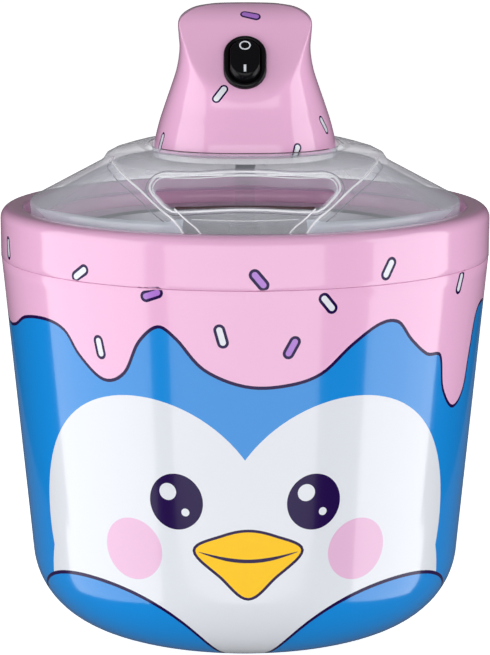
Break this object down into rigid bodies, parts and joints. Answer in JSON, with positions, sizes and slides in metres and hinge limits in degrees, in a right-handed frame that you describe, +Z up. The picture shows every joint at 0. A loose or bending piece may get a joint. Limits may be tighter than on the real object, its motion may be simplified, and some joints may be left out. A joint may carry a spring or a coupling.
{
  "type": "ice cream maker",
  "caption": "Domestic ice cream maker with a round tapered housing, lift-out freezer bowl, clear conical lid and a lift-off motor head with a rocker switch.",
  "frame": {"origin": "centre of the standing face, at the bottom of the rubber feet", "axes": "+Z up along the bowl's and paddle's axis, front with the switch towards -Y, +X to the right seen from the front"},
  "size_m": [0.176, 0.176, 0.2257],
  "materials": {
    "blue_shell": "gloss blue moulding with a printed pattern",
    "pink_shell": "gloss pink moulding",
    "white_plastic": "white moulding",
    "foam": "cream rigid foam",
    "black_rubber": "soft black rubber",
    "steel": "plated steel",
    "bowl_aluminium": "spun aluminium",
    "gel": "frozen coolant gel",
    "clear_plastic": "clear polystyrene",
    "clear_blue_silicone": "soft blue silicone",
    "bronze": "sintered bronze",
    "magnet_grey": "ferrite",
    "off_white_plastic": "natural white nylon or acetal",
    "board_green": "glass fibre board",
    "wire_blue": "insulated wire",
    "black_plastic": "black moulding",
    "copper_parts": "copper and brass"
  },
  "bodies": {
    "base": {"outer_housing": "blue_shell", "collar_ring": "pink_shell", "bowl_well_liner": "white_plastic", "insulation_foam": "foam", "bowl_seat_ring": "black_rubber", "base_plate": "white_plastic", "base_screws": "steel", "rubber_feet": "black_rubber"},
    "freezer_bowl": {"bowl_outer_shell": "bowl_aluminium", "bowl_inner_shell": "bowl_aluminium", "bowl_rim_seal": "black_rubber", "coolant_gel": "gel", "coolant_fill_plug": "black_rubber"},
    "paddle": {"mixing_paddle": "clear_plastic", "paddle_wipers": "clear_blue_silicone"},
    "lid": {"clear_lid": "clear_plastic", "lid_seal_ring": "clear_blue_silicone"},
    "motor_head": {"motor_head_shell": "pink_shell", "motor_base_cover": "white_plastic", "cover_screws": "steel", "gear_plate": "steel", "gear_plate_spacers": "steel", "idler_axle": "steel", "output_bush": "bronze", "motor_can": "steel", "motor_magnets": "magnet_grey", "motor_end_cap": "off_white_plastic", "motor_terminals": "bronze", "rectifier_board": "board_green", "internal_wires": "wire_blue", "cord_gland": "black_rubber", "switch_bezel": "black_plastic", "switch_terminals": "bronze"},
    "rocker": {"switch_rocker": "black_plastic"},
    "rotor": {"rotor_shaft": "steel", "armature_core": "copper_parts", "commutator": "copper_parts", "rotor_pinion": "off_white_plastic"},
    "idler": {"idler_gear": "off_white_plastic"},
    "output": {"output_gear": "off_white_plastic", "drive_shaft": "steel", "drive_coupling": "clear_plastic"}
  },
  "joints": [
    {"name": "bowl_lift", "type": "slide", "parent": "base", "child": "freezer_bowl", "axis": [0, 0, 1], "range_m": [0, 0.15]},
    {"name": "paddle_spin", "type": "hinge", "parent": "freezer_bowl", "child": "paddle", "pos_m": [0, 0, 0.1], "axis": [0, 0, 1], "continuous": true},
    {"name": "lid_lift", "type": "slide", "parent": "freezer_bowl", "child": "lid", "axis": [0, 0, 1], "range_m": [0, 0.16]},
    {"name": "motor_head_lift", "type": "slide", "parent": "lid", "child": "motor_head", "axis": [0, 0, 1], "range_m": [0, 0.06]},
    {"name": "output_spin", "type": "hinge", "parent": "motor_head", "child": "output", "pos_m": [0, 0, 0.18], "axis": [0, 0, 1], "continuous": true},
    {"name": "idler_spin", "type": "hinge", "parent": "motor_head", "child": "idler", "pos_m": [0.01383, 0.004, 0.18], "axis": [0, 0, 1], "continuous": true},
    {"name": "rotor_spin", "type": "hinge", "parent": "motor_head", "child": "rotor", "pos_m": [0, 0.008, 0.2], "axis": [0, 0, 1], "continuous": true},
    {"name": "switch_rock", "type": "hinge", "parent": "motor_head", "child": "rocker", "pos_m": [0, -0.02239, 0.20551], "axis": [1, 0, 0], "range_deg": [0, 15]}
  ],
  "couplings": [
    {"joint": "output_spin", "follows": "rotor_spin", "ratio": 0.11111},
    {"joint": "idler_spin", "follows": "rotor_spin", "ratio": -0.33333},
    {"joint": "paddle_spin", "follows": "rotor_spin", "ratio": 0.11111}
  ]
}
